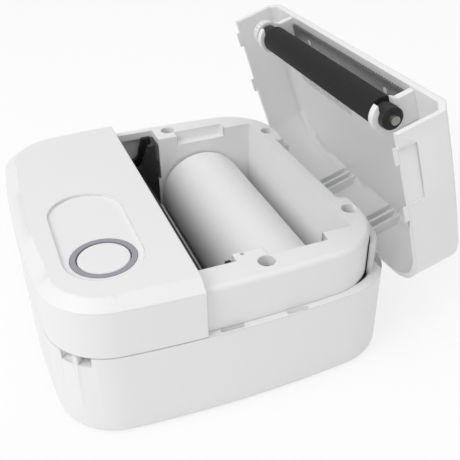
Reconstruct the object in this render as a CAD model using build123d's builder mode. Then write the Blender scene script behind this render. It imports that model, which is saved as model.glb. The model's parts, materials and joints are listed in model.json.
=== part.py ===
from build123d import *
import math
import os

os.makedirs("parts", exist_ok=True)

# Frame: +X along the platen, -Y towards the button side, +Z up, origin at the centre of the base.
# The cover stands open against its stop at rest; its pieces are drawn closed and then swung open.

# overall body
half_width = 40.45
half_depth = 39.83
side_bow = 3.03
corner_radius = 14.4
base_round = 2.0
split_height = 21.4
deck_height = 32.05
top_height = 34.76
bevel_inset = 3.0
bevel_drop = 2.1
lid_bevel_inset = 2.4
lid_bevel_drop = 1.6

# walls and gaps
case_wall = 2.4
floor_thickness = 1.7
cover_wall = 1.8
lid_wall = 1.3
roof_thickness = 1.45
deck_inset = 1.65
deck_wall = 1.5
part_gap = 0.3
running_gap = 0.05
seam_y = -8.4

# cover hinge
hinge_y = 35.95
hinge_z = 13.93
open_angle = 72.6
pin_radius = 1.0
knuckle_radius = 2.2
fin_pitch = 2.8
fin_thickness = 0.9
fin_front = 36.0
hinge_centres = (-12.7, 10.2)

# paper well and roll
well_half = 29.25
well_back = 29.5
well_front = 1.9
roll_y = 14.6
roll_radius = 12.1
core_radius = 6.4
paper_width = 57.0
seat_gap = 0.15
roll_z = floor_thickness + roll_radius + seat_gap

# platen
platen_y = -4.7
platen_z = 26.8
rubber_radius = 3.3
shaft_radius = 1.0
bushing_radius = 2.5
rubber_half = 26.2
bushing_inner = 26.6
bushing_outer = 30.2
hook_inner = 27.2
hook_outer = 28.9
shaft_near = 31.4
shaft_far = -33.4

# gears
gear_module = 0.4
platen_teeth = 19
drive_teeth = 22
idler_teeth = 16
pinion_teeth = 10
gear_inner = -30.7
gear_outer = -33.1

# button
button_x = 23.1
button_y = -24.3
ring_radius = 6.82
ring_bore = 5.65
button_radius = 5.45
pill_half = 8.31
pill_far_x = 5.16
pill_depth = 0.6
button_travel = 0.4

lid_swing = (
    Location((0, hinge_y, hinge_z), (-open_angle, 0, 0))
    * Location((0, -hinge_y, -hinge_z))
)


side_radius = (half_depth**2 + side_bow**2) / (2 * side_bow)
end_radius = (half_width**2 + side_bow**2) / (2 * side_bow)


def corner_of(inset):
    """Point where the side arc and the end arc meet, both drawn in by the inset."""
    side_r = side_radius - inset
    end_r = end_radius - inset
    side_centre = half_width - side_radius
    end_centre = half_depth - end_radius
    gap = math.hypot(side_centre, end_centre)
    along = (side_r**2 - end_r**2 + gap**2) / (2 * gap)
    across = math.sqrt(side_r**2 - along**2)
    ux = -side_centre / gap
    uy = end_centre / gap
    return side_centre + along * ux - across * uy, along * uy + across * ux


def body_arcs(inset):
    """Four bowed sides of the body plan, drawn in by the inset."""
    x, y = corner_of(inset)
    ThreePointArc((x, -y), (half_width - inset, 0), (x, y))
    ThreePointArc((x, y), (0, half_depth - inset), (-x, y))
    ThreePointArc((-x, y), (-half_width + inset, 0), (-x, -y))
    ThreePointArc((-x, -y), (0, -half_depth + inset), (x, -y))


def outline(inset, height):
    """Bowed, round-cornered plan of the body, drawn in by the inset."""
    with BuildSketch(Plane.XY.offset(height)) as plan:
        with BuildLine():
            body_arcs(inset)
        make_face()
        fillet(plan.vertices(), corner_radius - inset)
    return plan.sketch


def bowed_block(inset, bottom, top, crease, drop):
    """Upper body solid: straight sides, then a sloping band up to the flat top."""
    with BuildPart() as block:
        extrude(outline(inset, bottom), amount=top - drop - bottom)
        loft([outline(inset, top - drop).face(), outline(inset + crease, top).face()], ruled=True)
    return block.part


def box_between(x0, x1, y0, y1, z0, z1):
    """Plain block from its limits."""
    with BuildPart() as block:
        with Locations(((x0 + x1) / 2, (y0 + y1) / 2, (z0 + z1) / 2)):
            Box(abs(x1 - x0), abs(y1 - y0), abs(z1 - z0))
    return block.part


def rod(x0, x1, y, z, radius):
    """Round bar along X."""
    with BuildPart() as bar:
        with BuildSketch(Plane.YZ.offset(min(x0, x1))):
            with Locations((y, z)):
                Circle(radius)
        extrude(amount=abs(x1 - x0))
    return bar.part


def gear(teeth, x0, x1, y, z, bore, turn):
    """Spur gear along X with straight-flanked teeth."""
    pitch = gear_module * teeth / 2
    root = pitch - 1.2 * gear_module
    tip = pitch + gear_module
    half_step = math.pi * pitch / teeth
    with BuildPart() as wheel:
        with BuildSketch(Plane.YZ.offset(min(x0, x1))):
            with Locations((y, z)):
                Circle(root)
                with PolarLocations(0, teeth, start_angle=turn):
                    Polygon(
                        (root - 0.2, -half_step * 0.62),
                        (tip, -half_step * 0.26),
                        (tip, half_step * 0.26),
                        (root - 0.2, half_step * 0.62),
                        align=None,
                    )
                Circle(bore, mode=Mode.SUBTRACT)
        extrude(amount=abs(x1 - x0))
    return wheel.part


def save(piece, label):
    piece.label = label
    export_step(piece, "parts/" + label + ".step")


def save_swung(piece, label):
    """Places a piece of the cover in its open position and writes it."""
    with BuildPart() as swung:
        with Locations(lid_swing):
            add(piece)
    save(swung.part, label)


upper_outside = bowed_block(0, split_height, top_height, bevel_inset, bevel_drop)
inner_start = split_height - 1
upper_inside = bowed_block(cover_wall, inner_start, top_height - cover_wall, bevel_inset - 0.4, bevel_drop)
lid_inside = bowed_block(lid_wall, inner_start, top_height - roof_thickness, lid_bevel_inset, lid_bevel_drop)
fin_xs = [centre + step * fin_pitch for centre in hinge_centres for step in (-1, 0, 1)]
lug_xs = [centre + step * fin_pitch for centre in hinge_centres for step in (-1.5, -0.5, 0.5, 1.5)]
deck_screws = [(34.2, 6.75), (-34.2, 6.75), (22.8, 32.6), (-22.8, 32.6)]
front_screws = [(30.5, -31.5), (-33.0, -31.0)]

# sizes and plan of the deck with the paper well
deck_rear = 35.3
deck_rear_middle = 33.1
deck_recess_half = 17.0
deck_rear_corner = 14.5
deck_edge_round = 1.2
recess_outer_round = 1.5
recess_inner_round = 0.6
well_wall = 1.0
notch_front = 8.0
notch_back = 22.1
notch_depth = 2.6
notch_reach = 3.0
deck_floor = floor_thickness + 0.3
gear_bay_x = -35.9
gear_bay_back = 2.6
shaft_bay_x = 31.9
shaft_bay_back = 1.0
well_front_top = 12.4
boss_radius = 2.4
head_bore = 1.85
head_depth = 3.8


def deck_plan(inset, height):
    """Plan of the deck: rounder at the rear, with the hinge recess taken out of the middle."""
    with BuildSketch(Plane.XY.offset(height)) as plan:
        with BuildLine():
            body_arcs(deck_inset + inset)
        make_face()
        with Locations((0, 50)):
            Rectangle(100, 2 * (50 - deck_rear + inset), mode=Mode.SUBTRACT)
        fillet(plan.vertices().filter_by(lambda v: v.Y > 0), deck_rear_corner - inset)
        with Locations((0, 50)):
            recess_half = deck_recess_half + inset
            Rectangle(2 * recess_half, 2 * (50 - deck_rear_middle + inset), mode=Mode.SUBTRACT)
        recess_corners = plan.vertices().filter_by(lambda v: v.Y > 0 and abs(abs(v.X) - recess_half) < 0.1)
        fillet(recess_corners.group_by(Axis.Y)[-1], recess_outer_round)
        recess_corners = plan.vertices().filter_by(lambda v: v.Y > 0 and abs(abs(v.X) - recess_half) < 0.1)
        fillet(recess_corners.group_by(Axis.Y)[0], recess_inner_round)
        with Locations((0, -50)):
            Rectangle(100, 2 * (50 + seam_y + 0.1), mode=Mode.SUBTRACT)
    return plan.sketch


# lower shell
rim_gap = part_gap
rim_clear_radius = 7.45
slot_width = fin_thickness + 2 * part_gap
tab_spans = [(-4.9, -0.9), (9.9, 13.7)]
tab_drop = 0.9
usb_y = -16.0
usb_z = 7.0
foot_spots = [(26, 26), (-26, 26), (24, -24), (-24, -24)]
foot_radius = 4.0
foot_depth = 0.8
lip_outer = 1.85
lip_height = 7.0
lip_start_y = 32.0
lip_start_x = 18.5
post_radius = 1.9
tab_outer = 0.8
tab_thickness = 0.5

with BuildPart() as relief_cutter:
    with BuildSketch(Plane.YZ.offset(-half_width)):
        with Locations((hinge_y + 4.0, split_height)):
            Rectangle(8.4, 4.2)
        with Locations((hinge_y, hinge_z)):
            Circle(rim_clear_radius, mode=Mode.SUBTRACT)
    extrude(amount=2 * half_width)
    extrude(outline(lip_outer, split_height - 4), amount=8, mode=Mode.SUBTRACT)

with BuildPart() as rear_lip:
    extrude(outline(lip_outer, split_height - 1.5), amount=1.5 + lip_height)
    extrude(deck_plan(-part_gap, split_height - 2.0), amount=3 + lip_height, mode=Mode.SUBTRACT)
    add(box_between(-45, 45, -45, lip_start_y, 10, 40), mode=Mode.SUBTRACT)
    add(box_between(-lip_start_x, lip_start_x, 20, 45, 10, 40), mode=Mode.SUBTRACT)

with BuildPart() as bottom_case:
    extrude(outline(0, 0), amount=split_height)
    fillet(bottom_case.faces().sort_by(Axis.Z)[0].edges(), base_round)
    extrude(outline(case_wall, floor_thickness), amount=split_height, mode=Mode.SUBTRACT)
    add(relief_cutter.part, mode=Mode.SUBTRACT)
    add(rear_lip.part)
    # posts: blind ones for the deck screws, tubes for the two screws put in from below
    with Locations([(x, y, 1.0) for x, y in deck_screws]):
        Cylinder(post_radius, split_height - 1.6, align=(Align.CENTER, Align.CENTER, Align.MIN))
    with Locations([(x, y, 1.0) for x, y in front_screws]):
        Cylinder(3.1, split_height - 1.6, align=(Align.CENTER, Align.CENTER, Align.MIN))
    with Locations([(x, y, split_height - 8) for x, y in deck_screws]):
        Cylinder(0.8, 12, align=(Align.CENTER, Align.CENTER, Align.MIN), mode=Mode.SUBTRACT)
    with Locations([(x, y, -1) for x, y in front_screws]):
        Cylinder(2.2, 14, align=(Align.CENTER, Align.CENTER, Align.MIN), mode=Mode.SUBTRACT)
        Cylinder(1.15, 30, align=(Align.CENTER, Align.CENTER, Align.MIN), mode=Mode.SUBTRACT)
    # ribs under the charging board
    add(box_between(-36.5, -35.0, usb_y - 5, usb_y + 5, floor_thickness - 0.2, usb_z - 2.6))
    add(box_between(-32.4, -31.0, usb_y - 5, usb_y + 5, floor_thickness - 0.2, usb_z - 2.6))
    # hinge lugs between the fins of the cover
    for x in lug_xs:
        add(
            box_between(
                x - 0.6, x + 0.6, hinge_y - 2.2, half_depth - case_wall + 0.4, hinge_z - 4, hinge_z + 2.0
            )
        )
    # slots that let the fins through the rear wall
    for x in fin_xs:
        add(
            box_between(
                x - slot_width / 2, x + slot_width / 2, hinge_y - 3.0, half_depth + 1, hinge_z - 2.8, 30
            ),
            mode=Mode.SUBTRACT,
        )
    # pockets in the ledge for the tabs of the cover
    for y0, y1 in tab_spans:
        for side in (-1, 1):
            add(
                box_between(
                    side * (half_width - tab_outer + 0.2),
                    side * (half_width - tab_outer - tab_thickness - 0.35),
                    y0 - 0.5, y1 + 0.5, split_height - tab_drop, split_height + 1
                ),
                mode=Mode.SUBTRACT,
            )
    # two openings for a wrist strap at one corner, with a bar left between them
    for angle in (-54, -36):
        with Locations(
            Location((25.6, -24.9, split_height - 1.1), (0, 0, angle)) * Location((14.0, 0, 0))
        ):
            Box(6, 2.9, 2.3, mode=Mode.SUBTRACT)
    # charging socket opening
    add(
        box_between(-half_width - 2, -half_width + 3.2, usb_y - 4.3, usb_y + 4.3, usb_z - 1.75, usb_z + 1.75),
        mode=Mode.SUBTRACT,
    )
    add(rod(-18.5, 16.0, hinge_y, hinge_z, pin_radius), mode=Mode.SUBTRACT)
    with Locations([(x, y, 0) for x, y in foot_spots]):
        Cylinder(foot_radius + 0.05, 2 * foot_depth, mode=Mode.SUBTRACT)
save(bottom_case.part, "bottom_case")

with BuildPart() as rubber_feet:
    with Locations([(x, y, 0) for x, y in foot_spots]):
        Cylinder(foot_radius, foot_depth, align=(Align.CENTER, Align.CENTER, Align.MIN))
save(rubber_feet.part, "rubber_feet")

save(rod(-18.4, 15.9, hinge_y, hinge_z, pin_radius), "hinge_pin")

# front cover with its recess, light ring and button
edge_wall = 1.2
edge_bottom = 31.0

with BuildPart() as cover_edge:
    add(upper_outside)
    add(box_between(-50, 50, -50, seam_y - edge_wall, 10, 40), mode=Mode.SUBTRACT)
    add(box_between(-50, 50, seam_y, 50, 10, 40), mode=Mode.SUBTRACT)
    add(box_between(-50, 50, -50, 50, 10, edge_bottom), mode=Mode.SUBTRACT)

with BuildPart() as front_cover:
    add(upper_outside)
    add(upper_inside, mode=Mode.SUBTRACT)
    add(box_between(-50, 50, seam_y, 50, 10, 40), mode=Mode.SUBTRACT)
    add(box_between(-50, 50, -50, 50, 10, split_height + 0.2), mode=Mode.SUBTRACT)
    add(cover_edge.part)
    with BuildSketch(Plane.XY.offset(top_height - pill_depth)) as pill:
        with Locations((button_x, button_y), (pill_far_x, button_y)):
            Circle(pill_half)
        with Locations(((button_x + pill_far_x) / 2, button_y)):
            Rectangle(button_x - pill_far_x, 2 * pill_half)
    extrude(amount=3, mode=Mode.SUBTRACT)
    # posts that take the screws from below
    with Locations([(x, y, split_height) for x, y in front_screws]):
        Cylinder(2.2, top_height - 1.0 - split_height, align=(Align.CENTER, Align.CENTER, Align.MIN))
    with Locations([(x, y, split_height - 1) for x, y in front_screws]):
        Cylinder(0.8, 9, align=(Align.CENTER, Align.CENTER, Align.MIN), mode=Mode.SUBTRACT)
    with Locations((button_x, button_y, 30)):
        Cylinder(ring_radius + 0.08, 12, mode=Mode.SUBTRACT)
save(front_cover.part, "front_cover")

recess_floor = top_height - pill_depth
with BuildPart() as light_ring:
    with BuildSketch(Plane.XY.offset(recess_floor - 2.7)):
        with Locations((button_x, button_y)):
            Circle(ring_radius + 1.2)
            Circle(ring_bore, mode=Mode.SUBTRACT)
    extrude(amount=1.2)
    with BuildSketch(Plane.XY.offset(recess_floor - 2.7)):
        with Locations((button_x, button_y)):
            Circle(ring_radius)
            Circle(ring_bore, mode=Mode.SUBTRACT)
    extrude(amount=2.75)
save(light_ring.part, "button_light_ring")

with BuildPart() as power_button:
    with BuildSketch(Plane.YZ.offset(button_x)):
        with BuildLine():
            Polyline(
                (button_y, recess_floor - 4.0),
                (button_y + 1.2, recess_floor - 4.0),
                (button_y + 1.2, recess_floor - 3.6),
                (button_y + 6.3, recess_floor - 3.6),
                (button_y + 6.3, recess_floor - 3.0),
                (button_y + button_radius, recess_floor - 3.0),
                (button_y + button_radius, recess_floor - 0.25),
                (button_y + button_radius - 0.25, recess_floor),
                (button_y, recess_floor - 0.15),
                close=True,
            )
        make_face()
    revolve(axis=Axis((button_x, button_y, 0), (0, 0, 1)))
save(power_button.part, "power_button")

# deck with the paper well
with BuildPart() as deck_frame:
    extrude(deck_plan(0, split_height + 0.05), amount=deck_height - split_height - 0.05)
    rear_edges = deck_frame.edges().filter_by_position(Axis.Z, deck_height - 0.01, deck_height + 0.01)
    rear_edges = rear_edges.filter_by(lambda e: e.center().Y > seam_y + 1)
    fillet(rear_edges, deck_edge_round)
    extrude(deck_plan(deck_wall, split_height), amount=deck_height - 2.0 - split_height, mode=Mode.SUBTRACT)
    # walls of the well and blocks under the finger notches
    add(
        box_between(
            -well_half - well_wall, well_half + well_wall, seam_y + 0.1, well_back + well_wall,
            deck_floor, deck_height - 0.5
        )
    )
    for side in (-1, 1):
        add(
            box_between(
                side * well_half, side * (well_half + notch_reach + 1.2),
                notch_front - 1.2, notch_back + 1.2, deck_height - notch_depth - 1.4, deck_height - 1
            )
        )
    with Locations([(x, y, split_height - 0.4) for x, y in deck_screws]):
        Cylinder(boss_radius, deck_height - 1 - split_height, align=(Align.CENTER, Align.CENTER, Align.MIN))
    # the well itself, open to the floor of the lower shell
    add(box_between(-well_half, well_half, well_front, well_back, 0, 40), mode=Mode.SUBTRACT)
    # bay for the print mechanism in front of the well
    add(box_between(-well_half, well_half, seam_y - 1, well_front - 1.2, 0, 40), mode=Mode.SUBTRACT)
    add(box_between(-50, 50, seam_y - 1, well_front - 1.2, 0, 13), mode=Mode.SUBTRACT)
    well_front_cut = box_between(-well_half, well_half, seam_y - 1, well_front + 1, well_front_top, 40)
    add(well_front_cut, mode=Mode.SUBTRACT)
    add(box_between(gear_bay_x, -well_half + 1, seam_y - 1, well_front, 0, 40), mode=Mode.SUBTRACT)
    add(box_between(gear_bay_x, -well_half + 1, seam_y - 1, gear_bay_back, 20, 40), mode=Mode.SUBTRACT)
    add(box_between(well_half - 1, shaft_bay_x, seam_y - 1, shaft_bay_back, 13, 40), mode=Mode.SUBTRACT)
    for side in (-1, 1):
        add(
            box_between(
                side * (well_half - 1), side * (well_half + notch_reach),
                notch_front, notch_back, deck_height - notch_depth, 40
            ),
            mode=Mode.SUBTRACT,
        )
    with Locations([(x, y, deck_height - head_depth) for x, y in deck_screws]):
        Cylinder(head_bore, 10, align=(Align.CENTER, Align.CENTER, Align.MIN), mode=Mode.SUBTRACT)
        Cylinder(1.15, 40, mode=Mode.SUBTRACT)
    with Locations((well_half + 0.75, 3.1, deck_height)):
        Cylinder(0.45, 2, mode=Mode.SUBTRACT)
save(deck_frame.part, "deck_frame")


def screw(x, y, seat, down, length):
    """Pan-head screw; the head sits on the seat and the shank runs up or down."""
    sign = -1 if down else 1
    with BuildPart() as fastener:
        with BuildSketch(Plane.XY.offset(seat)):
            with Locations((x, y)):
                Circle(1.7)
        extrude(amount=-sign * 1.3)
        with BuildSketch(Plane.XY.offset(seat - sign * 0.7)):
            with Locations((x, y)):
                Rectangle(2.4, 0.5)
                Rectangle(0.5, 2.4)
        extrude(amount=-sign * 1.0, mode=Mode.SUBTRACT)
        with BuildSketch(Plane.XY.offset(seat)):
            with Locations((x, y)):
                Circle(0.8)
        extrude(amount=sign * length)
    return fastener.part


deck_seat = deck_height - head_depth
with BuildPart() as deck_screw_set:
    for x, y in deck_screws:
        add(screw(x, y, deck_seat, True, 10.5))
save(deck_screw_set.part, "deck_screws")

with BuildPart() as case_screw_set:
    for x, y in front_screws:
        add(screw(x, y, 13.0, False, 14.0))
save(case_screw_set.part, "case_screws")

# paper roll
roll_half = paper_width / 2
with BuildPart() as paper_roll:
    with BuildSketch(Plane.YZ.offset(-roll_half)):
        with Locations((roll_y, roll_z)):
            Circle(roll_radius - 0.1)
        with BuildLine():
            CenterArc((roll_y, roll_z), roll_radius, 60, 120)
            Line((roll_y - roll_radius, roll_z), (roll_y, roll_z))
            Line(
                (roll_y, roll_z),
                (roll_y + roll_radius * math.cos(math.pi / 3), roll_z + roll_radius * math.sin(math.pi / 3)),
            )
        make_face()
        with Locations((roll_y, roll_z)):
            Circle(core_radius, mode=Mode.SUBTRACT)
    extrude(amount=paper_width)
save(paper_roll.part, "paper_roll")

with BuildPart() as paper_core:
    with BuildSketch(Plane.YZ.offset(-roll_half - 0.1)):
        with Locations((roll_y, roll_z)):
            Circle(core_radius)
            Circle(core_radius - 0.9, mode=Mode.SUBTRACT)
    extrude(amount=paper_width + 0.2)
save(paper_core.part, "paper_core")

# print mechanism
frame_half = 29.1
plate_outer = 30.4
bed_height = 22.3
bed_back = -2.8
bed_foot = -0.9
plate_back = well_front - 0.3
guard_inner = -34.6
drive_y = -9.9
drive_z = 19.1
idler_distance = gear_module * (drive_teeth + idler_teeth) / 2
idler_y = drive_y - 0.868 * idler_distance
idler_z = drive_z - 0.4966 * idler_distance
pinion_distance = gear_module * (idler_teeth + pinion_teeth) / 2
pinion_y = idler_y - 0.866 * pinion_distance
pinion_z = idler_z - 0.5 * pinion_distance
motor_radius = 7.4
gear_pin_radius = 0.8

# lead-in behind the seats, along the path of the bushings
with BuildPart() as lead_cutter:
    with BuildSketch(Plane.YZ.offset(-plate_outer - 0.5)):
        with BuildLine():
            Polyline((platen_y, 27.2), (-1.6, 27.2), (-0.25, 31.0), (platen_y, 31.0), (platen_y, 27.2))
        make_face()
    extrude(amount=2 * plate_outer + 1)

with BuildPart() as seat_cutter:
    with BuildSketch(Plane.YZ.offset(-40)):
        with Locations((platen_y, platen_z)):
            Circle(bushing_radius + 0.15)
        Polygon(
            (platen_y - bushing_radius - 0.15, platen_z),
            (platen_y + bushing_radius + 0.15, platen_z),
            (platen_y + bushing_radius + 3.4, platen_z + 10),
            (platen_y - bushing_radius - 0.15, platen_z + 10),
            align=None,
        )
    extrude(amount=80)

with BuildPart() as print_head_frame:
    # bed under the platen, low at the back so that the roll is free
    with BuildSketch(Plane.YZ.offset(-frame_half)):
        with BuildLine():
            Polyline((-9.0, 18.0), (-9.0, 20.0), (-8.2, 20.0), (-8.2, bed_height))
            Polyline((-8.2, bed_height), (bed_back, bed_height), (bed_foot, 18.0), (-9.0, 18.0))
        make_face()
    extrude(amount=2 * frame_half)
    # floor rail carrying the head, open above it
    add(box_between(-frame_half, frame_half, -15.5, -9.0, 18.0, 20.0))
    for side in (-1, 1):
        add(box_between(side * frame_half, side * plate_outer, -16.5, -9.0, 18.0, 30.0))
        add(box_between(side * frame_half, side * plate_outer, -9.0, shaft_bay_back - 0.3, 18.0, 30.6))
    add(box_between(-plate_outer, -frame_half, shaft_bay_back - 1, plate_back, 18.0, 30.6))
    for x in (-15.0, 21.0):
        add(box_between(x - 2.5, x + 2.5, -14.5, -10.5, floor_thickness, 18.5))
    # motor plate and guard beside the gears
    add(box_between(-plate_outer, -frame_half, -27.4, -8.0, 4.5, 20.8))
    add(box_between(gear_bay_x + 0.2, guard_inner, seam_y + 0.4, plate_back, 13.0, 30.6))
    add(box_between(gear_bay_x + 0.2, -frame_half, 0.4, plate_back, 13.0, 25.5))
    add(box_between(-plate_outer, -frame_half, -8.5, plate_back, 13.0, 20.0))
    add(seat_cutter.part, mode=Mode.SUBTRACT)
    add(lead_cutter.part, mode=Mode.SUBTRACT)
    # clearance round the gear on the platen and its way up
    with BuildSketch(Plane.YZ.offset(guard_inner)):
        with Locations((platen_y, platen_z)):
            Circle(4.6)
        Polygon((-9.3, 26.8), (-0.1, 26.8), (3.5, 36.8), (-9.3, 36.8), align=None)
    extrude(amount=-plate_outer - guard_inner, mode=Mode.SUBTRACT)
    for y, z in ((drive_y, drive_z), (idler_y, idler_z)):
        add(rod(-plate_outer - 1, -frame_half + 1, y, z, gear_pin_radius), mode=Mode.SUBTRACT)
    add(rod(-plate_outer - 1, -frame_half + 1, pinion_y, pinion_z, 2.6), mode=Mode.SUBTRACT)
save(print_head_frame.part, "print_head_frame")

with BuildPart() as heat_sink:
    add(box_between(-26.5, 26.5, -12.4, -9.3, 20.3, 29.6))
    with Locations([(x, -12.4, 25.0) for x in range(-24, 25, 4)]):
        Box(2.0, 2.4, 12.0, mode=Mode.SUBTRACT)
save(heat_sink.part, "heat_sink")

save(box_between(-26.0, 26.0, -9.25, platen_y - rubber_radius - 0.3, 22.0, 29.0), "thermal_head")

with BuildPart() as stepper_motor:
    add(rod(-frame_half + 0.05, -18.0, pinion_y, pinion_z, motor_radius))
    add(rod(-plate_outer + 0.1, -frame_half + 1, pinion_y, pinion_z, 2.5))
    add(rod(-40, -18.5, pinion_y, pinion_z, 0.75 + running_gap), mode=Mode.SUBTRACT)
save(stepper_motor.part, "stepper_motor")

save(
    gear(drive_teeth, gear_outer, gear_inner, drive_y, drive_z, gear_pin_radius + running_gap, 0), "drive_gear"
)
mesh_angle = math.degrees(math.atan2(-0.4966, -0.868))
idler_turn = mesh_angle + 180 + 180 / idler_teeth + (mesh_angle * drive_teeth / idler_teeth)
save(
    gear(idler_teeth, gear_outer, gear_inner, idler_y, idler_z, gear_pin_radius + running_gap, idler_turn),
    "idler_gear",
)
pinion_angle = math.degrees(math.atan2(-0.5, -0.866))
pinion_turn = pinion_angle + 180 + 180 / pinion_teeth + (pinion_angle - idler_turn) * idler_teeth / pinion_teeth
with BuildPart() as motor_pinion:
    add(gear(pinion_teeth, gear_outer, gear_inner, pinion_y, pinion_z, 0.1, pinion_turn))
    add(rod(gear_inner - 0.1, -18.6, pinion_y, pinion_z, 0.75))
save(motor_pinion.part, "motor_pinion")

with BuildPart() as gear_shafts:
    for y, z in ((drive_y, drive_z), (idler_y, idler_z)):
        add(rod(gear_outer - 0.4, -frame_half, y, z, gear_pin_radius))
save(gear_shafts.part, "gear_shafts")

save(box_between(-4.0, 4.0, -6.6, -3.6, bed_height, bed_height + 0.6), "paper_sensor")

# boards and battery
with BuildPart() as main_board:
    add(box_between(-26.5, 31.0, -34.0, -17.5, 25.6, 26.8))
    with Locations([(x, y, 26) for x, y in front_screws]):
        Cylinder(2.8, 4, mode=Mode.SUBTRACT)
    add(box_between(button_x - 2.6, button_x + 2.6, button_y - 2.6, button_y + 2.6, 26.8, 29.0))
    with Locations((button_x, button_y, 29.0)):
        Cylinder(1.4, 0.6, align=(Align.CENTER, Align.CENTER, Align.MIN))
    add(box_between(-14, -6, -30, -22, 26.8, 27.8))
    add(box_between(-2, 6, -32, -27, 26.8, 28.4))
save(main_board.part, "main_board")

with BuildPart() as battery_pack:
    add(box_between(-14.0, 26.0, -34.5, -17.5, floor_thickness + 0.2, 12.5))
    fillet(battery_pack.edges().filter_by(Axis.X), 2.0)
save(battery_pack.part, "battery_pack")

with BuildPart() as charging_board:
    add(box_between(-36.9, -30.7, usb_y - 6, usb_y + 6, usb_z - 2.6, usb_z - 1.6))
save(charging_board.part, "charging_board")

with BuildPart() as usb_socket:
    add(box_between(-39.6, -34.0, usb_y - 3.8, usb_y + 3.8, usb_z - 1.6, usb_z + 1.3))
    fillet(usb_socket.edges().filter_by(Axis.X), 0.6)
    add(box_between(-41, -35.0, usb_y - 3.4, usb_y + 3.4, usb_z - 1.2, usb_z + 0.9), mode=Mode.SUBTRACT)
    add(box_between(-38.9, -34.9, usb_y - 2.6, usb_y + 2.6, usb_z - 0.5, usb_z + 0.1))
save(usb_socket.part, "usb_socket")

# swinging cover, drawn closed
rim_height = split_height + rim_gap
lid_front = seam_y + part_gap
roof_inside = top_height - roof_thickness
hook_radius = 3.9
snap_half = 1.75
grip_front = -4.6
grip_back = 9.2
grip_height = 3.9
grip_depth = 0.5
rib_start = -27.0
rib_pitch = 3.83
blade_half = 26.8
blade_front = -6.4
blade_back = -0.6
blade_top = roof_inside - 0.2
blade_thickness = 0.5
blade_teeth = 50

with BuildPart() as fin_blank:
    with BuildSketch(Plane.YZ) as fin_side:
        with BuildLine():
            Polyline(
                (fin_front, roof_inside + 0.4),
                (fin_front, hinge_z + 9.0),
                (hinge_y - knuckle_radius + 0.3, hinge_z + 1.2),
                (hinge_y - knuckle_radius + 0.3, hinge_z),
                (hinge_y + knuckle_radius - 0.4, hinge_z),
                (half_depth - lid_wall - 0.25, hinge_z + 6.2),
                (half_depth - lid_wall + 0.3, rim_height),
                (half_depth - lid_wall + 0.3, roof_inside + 0.4),
                close=True,
            )
        make_face()
        with Locations((hinge_y, hinge_z)):
            Circle(knuckle_radius)
    extrude(amount=fin_thickness / 2, both=True)

with BuildPart() as rear_cover:
    add(upper_outside)
    add(lid_inside, mode=Mode.SUBTRACT)
    add(box_between(-50, 50, -50, lid_front, 10, 40), mode=Mode.SUBTRACT)
    add(box_between(-50, 50, -50, 50, 10, rim_height), mode=Mode.SUBTRACT)
    # hinge fins
    with Locations([(x, 0, 0) for x in fin_xs]):
        add(fin_blank.part)
    add(rod(-18.0, 16.0, hinge_y, hinge_z, pin_radius + running_gap), mode=Mode.SUBTRACT)
    # snap hooks for the platen
    for side in (-1, 1):
        with BuildSketch(Plane.YZ.offset(min(side * hook_inner, side * hook_outer))):
            with Locations((platen_y, platen_z)):
                Circle(hook_radius)
            Polygon(
                (platen_y - 2.9, platen_z + 1),
                (platen_y + hook_radius, platen_z),
                (platen_y + hook_radius, roof_inside + 0.3),
                (platen_y - 2.9, roof_inside + 0.3),
                align=None,
            )
            with Locations((platen_y, platen_z)):
                Circle(bushing_radius + running_gap, mode=Mode.SUBTRACT)
            with Locations((platen_y - 3.0, platen_z - 0.2)):
                Rectangle(6.0, 2 * snap_half, mode=Mode.SUBTRACT)
        extrude(amount=hook_outer - hook_inner)
    # paper guides behind the platen
    for step in range(7):
        x = rib_start + step * rib_pitch
        with BuildSketch(Plane.YZ.offset(x - 0.35)):
            with BuildLine():
                Polyline(
                    (13.5, roof_inside + 0.2), (0.2, roof_inside + 0.2), (0.2, roof_inside - 2.2),
                    (5.0, roof_inside - 2.2)
                )
                ThreePointArc((5.0, roof_inside - 2.2), (10.2, roof_inside - 1.4), (13.5, roof_inside + 0.2))
            make_face()
        extrude(amount=0.7)
    # tabs under the side walls
    for y0, y1 in tab_spans:
        for side in (-1, 1):
            add(
                box_between(
                    side * (half_width - tab_outer), side * (half_width - tab_outer - tab_thickness),
                    y0, y1, split_height - tab_drop + part_gap, rim_height + 1.5
                )
            )
    # finger recesses
    for side in (-1, 1):
        add(
            box_between(
                side * (half_width - grip_depth - 0.15), side * (half_width + 1),
                grip_front, grip_back, 10, rim_height + grip_height
            ),
            mode=Mode.SUBTRACT,
        )
    # studs that hold the blade
    with Locations([(x, -3.6, blade_top - blade_thickness) for x in (-18, 18)]):
        Cylinder(0.75, 1.2, align=(Align.CENTER, Align.CENTER, Align.MIN))
save_swung(rear_cover.part, "rear_cover")

with BuildPart() as cutter_blade:
    blade_under = blade_top - blade_thickness
    add(box_between(-blade_half, blade_half, blade_front + 0.5, blade_back, blade_under, blade_top))
    tooth = 2 * blade_half / blade_teeth
    with BuildSketch(Plane.XY.offset(blade_under)):
        with Locations([(-blade_half + tooth * (n + 0.5), blade_front + 0.5) for n in range(blade_teeth)]):
            Polygon((-tooth / 2, 0), (tooth / 2, 0), (0, -0.6), align=None)
    extrude(amount=blade_thickness)
    with Locations([(x, -3.6, blade_top) for x in (-18, 18)]):
        Cylinder(0.8, 3, mode=Mode.SUBTRACT)
save_swung(cutter_blade.part, "cutter_blade")

save_swung(rod(shaft_far, shaft_near, platen_y, platen_z, shaft_radius), "platen_shaft")

with BuildPart() as platen_rubber:
    with BuildSketch(Plane.YZ.offset(-rubber_half)):
        with Locations((platen_y, platen_z)):
            Circle(rubber_radius)
            Circle(shaft_radius, mode=Mode.SUBTRACT)
    extrude(amount=2 * rubber_half)
save_swung(platen_rubber.part, "platen_rubber")

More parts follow.
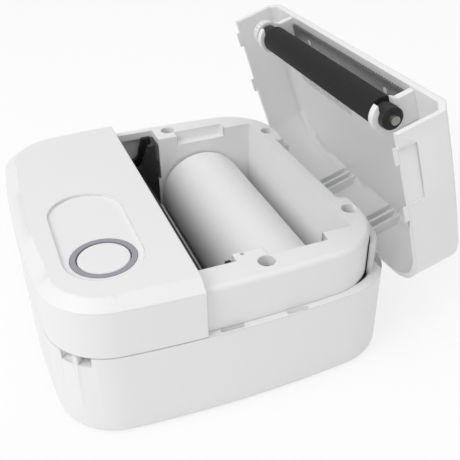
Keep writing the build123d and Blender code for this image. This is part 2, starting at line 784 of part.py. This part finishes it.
with BuildPart() as platen_bushings:
    for side in (-1, 1):
        with BuildSketch(Plane.YZ.offset(min(side * bushing_inner, side * bushing_outer))):
            with Locations((platen_y, platen_z)):
                Circle(bushing_radius)
                Circle(shaft_radius + running_gap, mode=Mode.SUBTRACT)
        extrude(amount=bushing_outer - bushing_inner)
save_swung(platen_bushings.part, "platen_bushings")

save_swung(
    gear(platen_teeth, gear_outer, gear_inner, platen_y, platen_z, shaft_radius, 0), "platen_gear"
)
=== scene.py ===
import json
import math

import bmesh
import bpy
from mathutils import Matrix, Vector


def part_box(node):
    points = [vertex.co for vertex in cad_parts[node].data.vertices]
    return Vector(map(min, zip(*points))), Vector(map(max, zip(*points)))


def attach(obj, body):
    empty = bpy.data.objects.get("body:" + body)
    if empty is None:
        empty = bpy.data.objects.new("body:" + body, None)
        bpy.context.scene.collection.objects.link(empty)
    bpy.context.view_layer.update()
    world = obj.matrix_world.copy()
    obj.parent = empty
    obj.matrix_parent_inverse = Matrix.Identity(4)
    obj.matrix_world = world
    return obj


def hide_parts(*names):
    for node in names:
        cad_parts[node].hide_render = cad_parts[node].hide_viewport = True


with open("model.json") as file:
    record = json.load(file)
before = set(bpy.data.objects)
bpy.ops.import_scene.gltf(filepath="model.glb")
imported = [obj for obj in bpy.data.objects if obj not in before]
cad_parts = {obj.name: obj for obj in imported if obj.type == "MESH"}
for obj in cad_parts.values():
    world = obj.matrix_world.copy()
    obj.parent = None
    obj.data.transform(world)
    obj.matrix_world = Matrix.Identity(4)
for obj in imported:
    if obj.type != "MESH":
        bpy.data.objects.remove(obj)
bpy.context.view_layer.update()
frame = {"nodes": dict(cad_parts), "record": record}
scene = bpy.context.scene
scene.view_settings.view_transform = "Standard"
print("stage 1: frame loaded,", len(frame["nodes"]), "nodes")


# Shader and geometry trees


class Wire:  # one socket of a tree; arithmetic on it adds Math nodes
    def __init__(self, recipe, socket):
        self.recipe = recipe
        self.socket = socket

    def math(self, operation, other=None, flip=False):
        pair = [self] if other is None else ([other, self] if flip else [self, other])
        kind = self.recipe.mathKind
        return self.recipe.put(kind, {"operation": operation}, dict(enumerate(pair)))

    def __add__(self, other):
        return self.math("ADD", other)

    def __sub__(self, other):
        return self.math("SUBTRACT", other)

    def __mul__(self, other):
        return self.math("MULTIPLY", other)

    def __truediv__(self, other):
        return self.math("DIVIDE", other)

    def __pow__(self, other):
        return self.math("POWER", other)

    def __rsub__(self, other):
        return self.math("SUBTRACT", other, True)

    def __rtruediv__(self, other):
        return self.math("DIVIDE", other, True)

    __radd__ = __add__
    __rmul__ = __mul__


class Recipe:  # a node tree that is filled by put()
    mathKind = "ShaderNodeMath"

    def __init__(self, tree):
        self.tree = tree

    def put(self, kind, settings=None, values=None, out=0):
        node = self.tree.nodes.new(kind)
        for key, value in (settings or {}).items():
            if key == "stops":
                for stop, (place, tone) in zip(node.color_ramp.elements, value):
                    stop.position = place
                    stop.color = (tone, tone, tone, 1)
            else:
                setattr(node, key, value)
        for key, value in (values or {}).items():
            if isinstance(value, Wire):
                self.tree.links.new(value.socket, node.inputs[key])
            elif isinstance(value, list):
                for each in value:
                    self.tree.links.new(each.socket, node.inputs[key])
            else:
                node.inputs[key].default_value = value
        return Wire(self, node.outputs[out]) if len(node.outputs) else None


def newFinish(name):
    material = bpy.data.materials.new(name)
    material.use_nodes = True
    material.node_tree.nodes.clear()
    return material, Recipe(material.node_tree)


def objectPlace(recipe):
    return recipe.put("ShaderNodeTexCoord", out=3)


def speckle(recipe, place, size, detail=2.0):
    # noise whose blobs are about as large as size, in metres
    values = {"Vector": place, "Scale": 1 / size, "Detail": detail, "Roughness": 0.55}
    return recipe.put("ShaderNodeTexNoise", None, values)


def blendColour(recipe, factor, first, second):
    values = {0: factor, 6: (*first, 1), 7: (*second, 1)}
    return recipe.put("ShaderNodeMix", {"data_type": "RGBA"}, values, out=2)


def closeFinish(recipe, surface):
    recipe.put("ShaderNodeOutputMaterial", None, {"Surface": surface})


def mouldedPlastic(name, look):
    # satin injection-moulded plastic: faint spark-eroded grain and softened edges
    material, recipe = newFinish(name)
    place = objectPlace(recipe)
    grain = speckle(recipe, place, look["grain"])
    cloud = speckle(recipe, place, look["cloud"], 1.0)
    shade = tuple(c * (1 - look["mottle"]) for c in look["colour"])
    edge = recipe.put("ShaderNodeBevel", {"samples": 4}, {"Radius": look["edge"]})
    bump = recipe.put(
        "ShaderNodeBump",
        None,
        {"Strength": look["bump"], "Distance": 0.00006, "Height": grain, "Normal": edge},
    )
    surface = recipe.put(
        "ShaderNodeBsdfPrincipled",
        None,
        {
            "Base Color": blendColour(recipe, cloud, shade, look["colour"]),
            "Roughness": grain * look["roughSpread"] + look["rough"],
            "IOR": 1.5,
            "Normal": bump,
        },
    )
    closeFinish(recipe, surface)
    return material


def metal(name, look):
    # bright or dull metal with drawn marks along one direction
    material, recipe = newFinish(name)
    place = objectPlace(recipe)
    stretched = recipe.put("ShaderNodeMapping", None, {"Vector": place, "Scale": look["marks"]})
    marks = recipe.put("ShaderNodeTexNoise", None, {"Vector": stretched, "Scale": 1.0, "Detail": 3.0})
    patches = speckle(recipe, place, look["cloud"])
    dull = tuple(c * (1 - look["mottle"]) for c in look["colour"])
    bump = recipe.put(
        "ShaderNodeBump", None, {"Strength": look["bump"], "Distance": 0.00003, "Height": marks}
    )
    surface = recipe.put(
        "ShaderNodeBsdfPrincipled",
        None,
        {
            "Base Color": blendColour(recipe, patches, dull, look["colour"]),
            "Metallic": 1.0,
            "Roughness": marks * look["roughSpread"] + look["rough"],
            "Normal": bump,
        },
    )
    closeFinish(recipe, surface)
    return material


def paperFinish(name, look):
    # matt paper; the wound layers show as rings on the two ends
    material, recipe = newFinish(name)
    place = objectPlace(recipe)
    parts = recipe.tree.nodes.new("ShaderNodeSeparateXYZ")
    recipe.tree.links.new(place.socket, parts.inputs[0])
    across = Wire(recipe, parts.outputs["Y"]) - look["centre"][0]
    upward = Wire(recipe, parts.outputs["Z"]) - look["centre"][1]
    radius = (across * across + upward * upward) ** 0.5
    rings = (radius * (2 * math.pi / look["layer"])).math("SINE") * 0.5 + 0.5
    fibres = speckle(recipe, place, look["fibre"], 4.0)
    tone = rings * 0.5 + fibres * 0.5
    dark = tuple(c * (1 - look["mottle"]) for c in look["colour"])
    bump = recipe.put("ShaderNodeBump", None, {"Strength": 0.12, "Distance": 0.00003, "Height": fibres})
    surface = recipe.put(
        "ShaderNodeBsdfPrincipled",
        None,
        {
            "Base Color": blendColour(recipe, tone, dark, look["colour"]),
            "Roughness": fibres * 0.08 + 0.68,
            "Specular IOR Level": 0.3,
            "Normal": bump,
        },
    )
    closeFinish(recipe, surface)
    return material


finishLooks = {
    "whiteShell": {
        "colour": (0.87, 0.87, 0.875), "mottle": 0.015, "cloud": 0.018, "grain": 0.00035,
        "rough": 0.33, "roughSpread": 0.10, "bump": 0.10, "edge": 0.00035,
    },
    "whiteGear": {
        "colour": (0.86, 0.86, 0.855), "mottle": 0.03, "cloud": 0.003, "grain": 0.0003,
        "rough": 0.36, "roughSpread": 0.08, "bump": 0.05, "edge": 0.0001,
    },
    "ringGrey": {
        "colour": (0.34, 0.34, 0.38), "mottle": 0.05, "cloud": 0.004, "grain": 0.0003,
        "rough": 0.28, "roughSpread": 0.06, "bump": 0.03, "edge": 0.0001,
    },
    "blackPlastic": {
        "colour": (0.016, 0.016, 0.018), "mottle": 0.25, "cloud": 0.006, "grain": 0.00025,
        "rough": 0.40, "roughSpread": 0.14, "bump": 0.16, "edge": 0.0002,
    },
    "blackRubber": {
        "colour": (0.011, 0.011, 0.012), "mottle": 0.22, "cloud": 0.003, "grain": 0.00018,
        "rough": 0.72, "roughSpread": 0.16, "bump": 0.25, "edge": 0.0003,
    },
    "footRubber": {
        "colour": (0.22, 0.22, 0.22), "mottle": 0.15, "cloud": 0.003, "grain": 0.0002,
        "rough": 0.70, "roughSpread": 0.12, "bump": 0.25, "edge": 0.0002,
    },
    "boardGreen": {
        "colour": (0.03, 0.16, 0.07), "mottle": 0.30, "cloud": 0.004, "grain": 0.0003,
        "rough": 0.35, "roughSpread": 0.10, "bump": 0.06, "edge": 0.0001,
    },
    "batteryWrap": {
        "colour": (0.32, 0.38, 0.50), "mottle": 0.12, "cloud": 0.008, "grain": 0.0004,
        "rough": 0.30, "roughSpread": 0.12, "bump": 0.10, "edge": 0.0005,
    },
    "cardTube": {
        "colour": (0.50, 0.40, 0.28), "mottle": 0.25, "cloud": 0.004, "grain": 0.0002,
        "rough": 0.80, "roughSpread": 0.10, "bump": 0.20, "edge": 0.0001,
    },
    "headCeramic": {
        "colour": (0.20, 0.16, 0.12), "mottle": 0.15, "cloud": 0.004, "grain": 0.0002,
        "rough": 0.25, "roughSpread": 0.10, "bump": 0.05, "edge": 0.0001,
    },
}
metalLooks = {
    "shaftSteel": {
        "colour": (0.62, 0.60, 0.57), "mottle": 0.12, "cloud": 0.002, "marks": (9000, 1200, 1200),
        "rough": 0.26, "roughSpread": 0.18, "bump": 0.20,
    },
    "bladeSteel": {
        "colour": (0.40, 0.40, 0.39), "mottle": 0.35, "cloud": 0.0022, "marks": (500, 7000, 7000),
        "rough": 0.38, "roughSpread": 0.22, "bump": 0.25,
    },
    "screwSteel": {
        "colour": (0.45, 0.45, 0.47), "mottle": 0.25, "cloud": 0.001, "marks": (2500, 2500, 2500),
        "rough": 0.32, "roughSpread": 0.20, "bump": 0.20,
    },
    "finAluminium": {
        "colour": (0.72, 0.72, 0.73), "mottle": 0.10, "cloud": 0.003, "marks": (400, 5000, 5000),
        "rough": 0.40, "roughSpread": 0.15, "bump": 0.15,
    },
    "pinionBrass": {
        "colour": (0.75, 0.58, 0.28), "mottle": 0.20, "cloud": 0.002, "marks": (6000, 1500, 1500),
        "rough": 0.30, "roughSpread": 0.15, "bump": 0.15,
    },
}
finishes = {name: mouldedPlastic(name, look) for name, look in finishLooks.items()}
finishes.update({name: metal(name, look) for name, look in metalLooks.items()})

rollLow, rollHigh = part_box("paper_roll")
rollCentre = (rollLow + rollHigh) / 2
paperLook = {
    "colour": (0.90, 0.90, 0.905), "mottle": 0.05, "fibre": 0.0006, "layer": 0.00045,
    "centre": (rollCentre.y, rollCentre.z),
}
finishes["paper"] = paperFinish("paper", paperLook)
print("stage 2:", len(finishes), "finishes")


# Carried-over nodes: what each one is made of


bodyOf = {node: body for body, nodes in frame["record"]["behaviour"]["bodies"].items() for node in nodes}
nodeFinish = {
    "bottom_case": "whiteShell", "front_cover": "whiteShell", "deck_frame": "whiteShell",
    "rear_cover": "whiteShell", "power_button": "whiteShell", "button_light_ring": "ringGrey",
    "rubber_feet": "footRubber", "hinge_pin": "shaftSteel", "deck_screws": "screwSteel",
    "case_screws": "screwSteel", "paper_roll": "paper", "paper_core": "cardTube",
    "print_head_frame": "blackPlastic", "heat_sink": "finAluminium", "thermal_head": "headCeramic",
    "stepper_motor": "shaftSteel", "drive_gear": "whiteGear", "idler_gear": "whiteGear",
    "motor_pinion": "pinionBrass", "gear_shafts": "shaftSteel", "paper_sensor": "blackPlastic",
    "main_board": "boardGreen", "battery_pack": "batteryWrap", "charging_board": "boardGreen",
    "usb_socket": "shaftSteel", "cutter_blade": "bladeSteel", "platen_shaft": "shaftSteel",
    "platen_rubber": "blackRubber", "platen_bushings": "blackPlastic", "platen_gear": "whiteGear",
}
for nodeName, node in frame["nodes"].items():
    node.data.materials.clear()
    node.data.materials.append(finishes[nodeFinish[nodeName]])


# Shells: a node's surface as one smooth skin, in place of its loose facets


shellSettings = {
    "nodes": [
        "bottom_case", "front_cover", "deck_frame", "rear_cover", "power_button", "button_light_ring",
        "paper_roll", "print_head_frame", "platen_rubber", "platen_bushings", "platen_shaft",
        "cutter_blade", "hinge_pin", "drive_gear",
    ],
    "weld": 2e-6,
    "flatWithin": math.radians(0.2),
    "sharpFrom": math.radians(28),
}


def bakeModifiers(piece):
    # the evaluated shape becomes the piece's plain mesh
    bpy.context.view_layer.update()
    graph = bpy.context.evaluated_depsgraph_get()
    made = bpy.data.meshes.new_from_object(piece.evaluated_get(graph))
    piece.modifiers.clear()
    piece.data = made
    return piece


def smoothShell(nodeName):
    words = nodeName.split("_")
    name = words[0] + "".join(word.capitalize() for word in words[1:]) + "Skin"
    mesh = frame["nodes"][nodeName].data.copy()
    shape = bmesh.new()
    shape.from_mesh(mesh)
    bmesh.ops.remove_doubles(shape, verts=shape.verts, dist=shellSettings["weld"])
    bmesh.ops.dissolve_limit(
        shape, angle_limit=shellSettings["flatWithin"], verts=shape.verts, edges=shape.edges
    )
    shape.to_mesh(mesh)
    shape.free()
    mesh.shade_smooth()
    mesh.set_sharp_from_angle(angle=shellSettings["sharpFrom"])
    piece = bpy.data.objects.new(name, mesh)
    scene.collection.objects.link(piece)
    weighted = piece.modifiers.new("flatFaces", "WEIGHTED_NORMAL")
    weighted.keep_sharp = True
    weighted.weight = 50
    bakeModifiers(piece)
    piece.data.materials.clear()
    piece.data.materials.append(finishes[nodeFinish[nodeName]])
    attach(piece, bodyOf[nodeName])
    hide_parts(nodeName)
    return piece


for nodeName in shellSettings["nodes"]:
    smoothShell(nodeName)
print("stage 3: shells")


# Repeated forms, grown by geometry nodes


class Growth(Recipe):  # a geometry tree with named inputs
    def __init__(self, name, sockets):
        tree = bpy.data.node_groups.new(name, "GeometryNodeTree")
        tree.interface.new_socket("Geometry", in_out="OUTPUT", socket_type="NodeSocketGeometry")
        tree.interface.new_socket("Geometry", in_out="INPUT", socket_type="NodeSocketGeometry")
        for socketName, (kind, value) in sockets.items():
            made = tree.interface.new_socket(socketName, in_out="INPUT", socket_type=kind)
            made.default_value = value
        super().__init__(tree)
        self.entry = tree.nodes.new("NodeGroupInput")

    def given(self, name):
        return Wire(self, self.entry.outputs[name])

    def vector(self, x=0.0, y=0.0, z=0.0):
        return self.put("ShaderNodeCombineXYZ", None, {"X": x, "Y": y, "Z": z})

    def moved(self, shape, values):
        return self.put("GeometryNodeTransform", None, {"Geometry": shape, **values})

    def joined(self, *shapes):
        return self.put("GeometryNodeJoinGeometry", None, {"Geometry": list(shapes)})

    def finish(self, shape, finishName):
        plain = self.put("GeometryNodeRealizeInstances", None, {"Geometry": shape})
        values = {"Geometry": plain, "Material": finishes[finishName]}
        painted = self.put("GeometryNodeSetMaterial", None, values)
        self.put("NodeGroupOutput", None, {"Geometry": painted})
        return self.tree


def grow(name, tree, spots, values, nodeNames):
    # runs the tree on a mesh of bare points and keeps the result as a plain piece
    mesh = bpy.data.meshes.new(name)
    mesh.from_pydata(spots, [], [])
    piece = bpy.data.objects.new(name, mesh)
    scene.collection.objects.link(piece)
    grown = piece.modifiers.new("grown", "NODES")
    grown.node_group = tree
    for item in tree.interface.items_tree:
        if item.in_out == "INPUT" and item.name in values:
            grown[item.identifier] = values[item.name]
    bakeModifiers(piece)
    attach(piece, bodyOf[nodeNames[0]])
    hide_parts(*nodeNames)
    return piece


def screwTree():
    sizes = {
        "Head Radius": ("NodeSocketFloat", 0.0017), "Head Height": ("NodeSocketFloat", 0.0013),
        "Shank Radius": ("NodeSocketFloat", 0.0008), "Shank Length": ("NodeSocketFloat", 0.0105),
        "Slot Width": ("NodeSocketFloat", 0.0005), "Slot Length": ("NodeSocketFloat", 0.0022),
    }
    tree = Growth("screwTree", sizes)
    height = tree.given("Head Height")
    headValues = {"Vertices": 40, "Side Segments": 1, "Radius": tree.given("Head Radius"), "Depth": height}
    head = tree.put("GeometryNodeMeshCylinder", None, headValues)
    head = tree.moved(head, {"Translation": tree.vector(z=height * 0.5)})
    slotSize = tree.vector(tree.given("Slot Length"), tree.given("Slot Width"), height * 1.2)
    slot = tree.put("GeometryNodeMeshCube", None, {"Size": slotSize})
    slot = tree.moved(slot, {"Translation": tree.vector(z=height)})
    crossSlot = tree.moved(slot, {"Rotation": (0, 0, math.pi / 2)})
    cut = tree.put("GeometryNodeMeshBoolean", {"operation": "DIFFERENCE"}, {0: head, 1: [slot, crossSlot]})
    length = tree.given("Shank Length")
    shankValues = {"Vertices": 20, "Side Segments": 1, "Radius": tree.given("Shank Radius"), "Depth": length}
    shank = tree.put("GeometryNodeMeshCylinder", None, shankValues)
    shank = tree.moved(shank, {"Translation": tree.vector(z=length * -0.5)})
    screw = tree.joined(cut, shank)
    values = {"Points": tree.given("Geometry"), "Instance": screw}
    return tree.finish(tree.put("GeometryNodeInstanceOnPoints", None, values), "screwSteel")


wheelShares = {"web": 0.6, "hollow": 0.78, "toothTip": 0.42, "toothLength": 1.25, "squareDiagonal": 1.4142}


def wheelTree():
    sizes = {
        "Teeth": ("NodeSocketInt", 19), "Root Radius": ("NodeSocketFloat", 0.0033),
        "Tooth Height": ("NodeSocketFloat", 0.0009), "Tooth Width": ("NodeSocketFloat", 0.0007),
        "Face": ("NodeSocketFloat", 0.0024), "Hub Radius": ("NodeSocketFloat", 0.0017),
        "Turn": ("NodeSocketFloat", 0.0),
    }
    tree = Growth("wheelTree", sizes)
    root, face = tree.given("Root Radius"), tree.given("Face")
    height = tree.given("Tooth Height")
    web = tree.put(
        "GeometryNodeMeshCylinder", None, {"Vertices": 76, "Radius": root, "Depth": face * wheelShares["web"]}
    )
    rim = tree.put("GeometryNodeMeshCylinder", None, {"Vertices": 76, "Radius": root, "Depth": face})
    hollowValues = {"Vertices": 76, "Radius": root * wheelShares["hollow"], "Depth": face * 1.4}
    hollow = tree.put("GeometryNodeMeshCylinder", None, hollowValues)
    rim = tree.put("GeometryNodeMeshBoolean", {"operation": "DIFFERENCE"}, {0: rim, 1: [hollow]})
    hub = tree.put(
        "GeometryNodeMeshCylinder", None, {"Vertices": 40, "Radius": tree.given("Hub Radius"), "Depth": face}
    )
    circle = tree.put("GeometryNodeMeshCircle", None, {"Vertices": tree.given("Teeth"), "Radius": root})
    toothValues = {
        "Vertices": 4, "Radius Top": tree.given("Tooth Width") * wheelShares["toothTip"],
        "Radius Bottom": tree.given("Tooth Width"), "Depth": height * wheelShares["toothLength"],
    }
    tooth = tree.put("GeometryNodeMeshCone", None, toothValues)
    tooth = tree.moved(tooth, {"Rotation": (0, 0, math.pi / 4)})
    stretch = tree.vector(1.0, face / (tree.given("Tooth Width") * wheelShares["squareDiagonal"]), 1.0)
    tooth = tree.moved(tooth, {"Scale": stretch})
    tooth = tree.moved(tooth, {"Rotation": (math.pi / 2, 0, 0)})
    tooth = tree.moved(tooth, {"Rotation": (0, 0, -math.pi / 2)})
    outward = tree.put("GeometryNodeInputPosition")
    aim = tree.put("FunctionNodeAlignEulerToVector", {"axis": "X"}, {"Vector": outward})
    teethValues = {"Points": circle, "Instance": tooth, "Rotation": aim}
    teeth = tree.put("GeometryNodeInstanceOnPoints", None, teethValues)
    wheel = tree.joined(web, rim, hub, teeth)
    wheel = tree.moved(wheel, {"Rotation": tree.vector(z=tree.given("Turn"))})
    wheel = tree.moved(wheel, {"Rotation": (0, math.pi / 2, 0)})
    values = {"Points": tree.given("Geometry"), "Instance": wheel}
    return tree.finish(tree.put("GeometryNodeInstanceOnPoints", None, values), "whiteGear")


screwSettings = {"headRadius": 0.0017, "headHeight": 0.0013, "shankRadius": 0.0008, "shankLength": 0.0105}
screwLow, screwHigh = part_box("deck_screws")
screwSeat = screwHigh.z - screwSettings["headHeight"]
screwReach = screwHigh.x - screwSettings["headRadius"]
screwFront = screwLow.y + screwSettings["headRadius"]
screwRear = screwHigh.y - screwSettings["headRadius"]
rearScrewReach = 0.0228
screwSpots = [(side * screwReach, screwFront, screwSeat) for side in (-1, 1)]
screwSpots += [(side * rearScrewReach, screwRear, screwSeat) for side in (-1, 1)]
grow(
    "deckScrewSet",
    screwTree(),
    screwSpots,
    {
        "Head Radius": screwSettings["headRadius"], "Head Height": screwSettings["headHeight"],
        "Shank Radius": screwSettings["shankRadius"], "Shank Length": screwSettings["shankLength"],
    },
    ["deck_screws"],
)

gearSettings = {"teeth": 19, "rootShare": 0.79, "toothWidth": 0.00062}
gearLow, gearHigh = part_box("platen_gear")
gearCentre = (gearLow + gearHigh) / 2
gearTip = (gearHigh.z - gearLow.z) / 2
grow(
    "platenGearWheel",
    wheelTree(),
    [tuple(gearCentre)],
    {
        "Teeth": gearSettings["teeth"], "Root Radius": gearTip * gearSettings["rootShare"],
        "Tooth Height": gearTip * (1 - gearSettings["rootShare"]),
        "Tooth Width": gearSettings["toothWidth"], "Face": gearHigh.x - gearLow.x,
    },
    ["platen_gear"],
)
print("stage 4: screws and gear wheel")


# Stage, light and camera


stageSettings = {"size": 3.0, "colour": 0.93, "glow": 0.75}
floorFinish, floorRecipe = newFinish("paleFloor")
rays = floorRecipe.tree.nodes.new("ShaderNodeLightPath")
seen = Wire(floorRecipe, rays.outputs["Is Camera Ray"]) + Wire(floorRecipe, rays.outputs["Is Glossy Ray"])
seen = seen + Wire(floorRecipe, rays.outputs["Is Transmission Ray"])
matt = floorRecipe.put(
    "ShaderNodeBsdfDiffuse", None, {"Color": (*[stageSettings["colour"]] * 3, 1), "Roughness": 0.5}
)
glow = floorRecipe.put("ShaderNodeEmission", None, {"Color": (1, 1, 1, 1), "Strength": 1.0})
mixed = floorRecipe.put(
    "ShaderNodeMixShader", None, {0: seen.math("MINIMUM", 1.0) * stageSettings["glow"], 1: matt, 2: glow}
)
closeFinish(floorRecipe, mixed)
half = stageSettings["size"] / 2
floorMesh = bpy.data.meshes.new("floor")
floorCorners = [(-half, -half, 0), (half, -half, 0), (half, half, 0), (-half, half, 0)]
floorMesh.from_pydata(floorCorners, [], [(0, 1, 2, 3)])
floorMesh.materials.append(floorFinish)
floorPiece = bpy.data.objects.new("floor", floorMesh)
scene.collection.objects.link(floorPiece)

skySettings = {"lightLevel": 0.58, "seenLevel": 1.0}
sky = bpy.data.worlds.new("studioSky")
sky.use_nodes = True
sky.node_tree.nodes.clear()
scene.world = sky
skyRecipe = Recipe(sky.node_tree)
skyRays = sky.node_tree.nodes.new("ShaderNodeLightPath")
skySeen = Wire(skyRecipe, skyRays.outputs["Is Camera Ray"])
level = skySeen * (skySettings["seenLevel"] - skySettings["lightLevel"]) + skySettings["lightLevel"]
skyShade = skyRecipe.put("ShaderNodeBackground", None, {"Color": (1, 1, 1, 1), "Strength": level})
skyRecipe.put("ShaderNodeOutputWorld", None, {"Surface": skyShade})

lampSettings = {
    "overhead": {"place": (0.05, 0.05, 0.85), "size": 1.0, "power": 1.6},
    "frontFill": {"place": (0.20, -0.55, 0.50), "size": 0.6, "power": 2.2},
}
lampTarget = Vector((0, 0, 0.02))
for lampName, lamp in lampSettings.items():
    data = bpy.data.lights.new(lampName, "AREA")
    data.shape = "DISK"
    data.size = lamp["size"]
    data.energy = lamp["power"]
    holder = bpy.data.objects.new(lampName, data)
    scene.collection.objects.link(holder)
    aimed = (lampTarget - Vector(lamp["place"])).to_track_quat("-Z", "Y")
    holder.matrix_world = Matrix.Translation(lamp["place"]) @ aimed.to_matrix().to_4x4()

cameraSettings = {
    "place": (0.13714, -0.04081, 0.11374), "azimuth": 68.94, "elevation": 33.19,
    "roll": -1.022, "lens": 53.35,
}
cameraData = bpy.data.cameras.new("studyCamera")
cameraData.sensor_width = 36
cameraData.sensor_fit = "HORIZONTAL"
cameraData.lens = cameraSettings["lens"]
cameraData.clip_start = 0.01
camera = bpy.data.objects.new("studyCamera", cameraData)
scene.collection.objects.link(camera)
camera.matrix_world = (
    Matrix.Translation(cameraSettings["place"])
    @ Matrix.Rotation(math.radians(cameraSettings["azimuth"]), 4, "Z")
    @ Matrix.Rotation(math.radians(90 - cameraSettings["elevation"]), 4, "X")
    @ Matrix.Rotation(math.radians(cameraSettings["roll"]), 4, "Z")
)
scene.camera = camera
print("stage 5: light and camera")
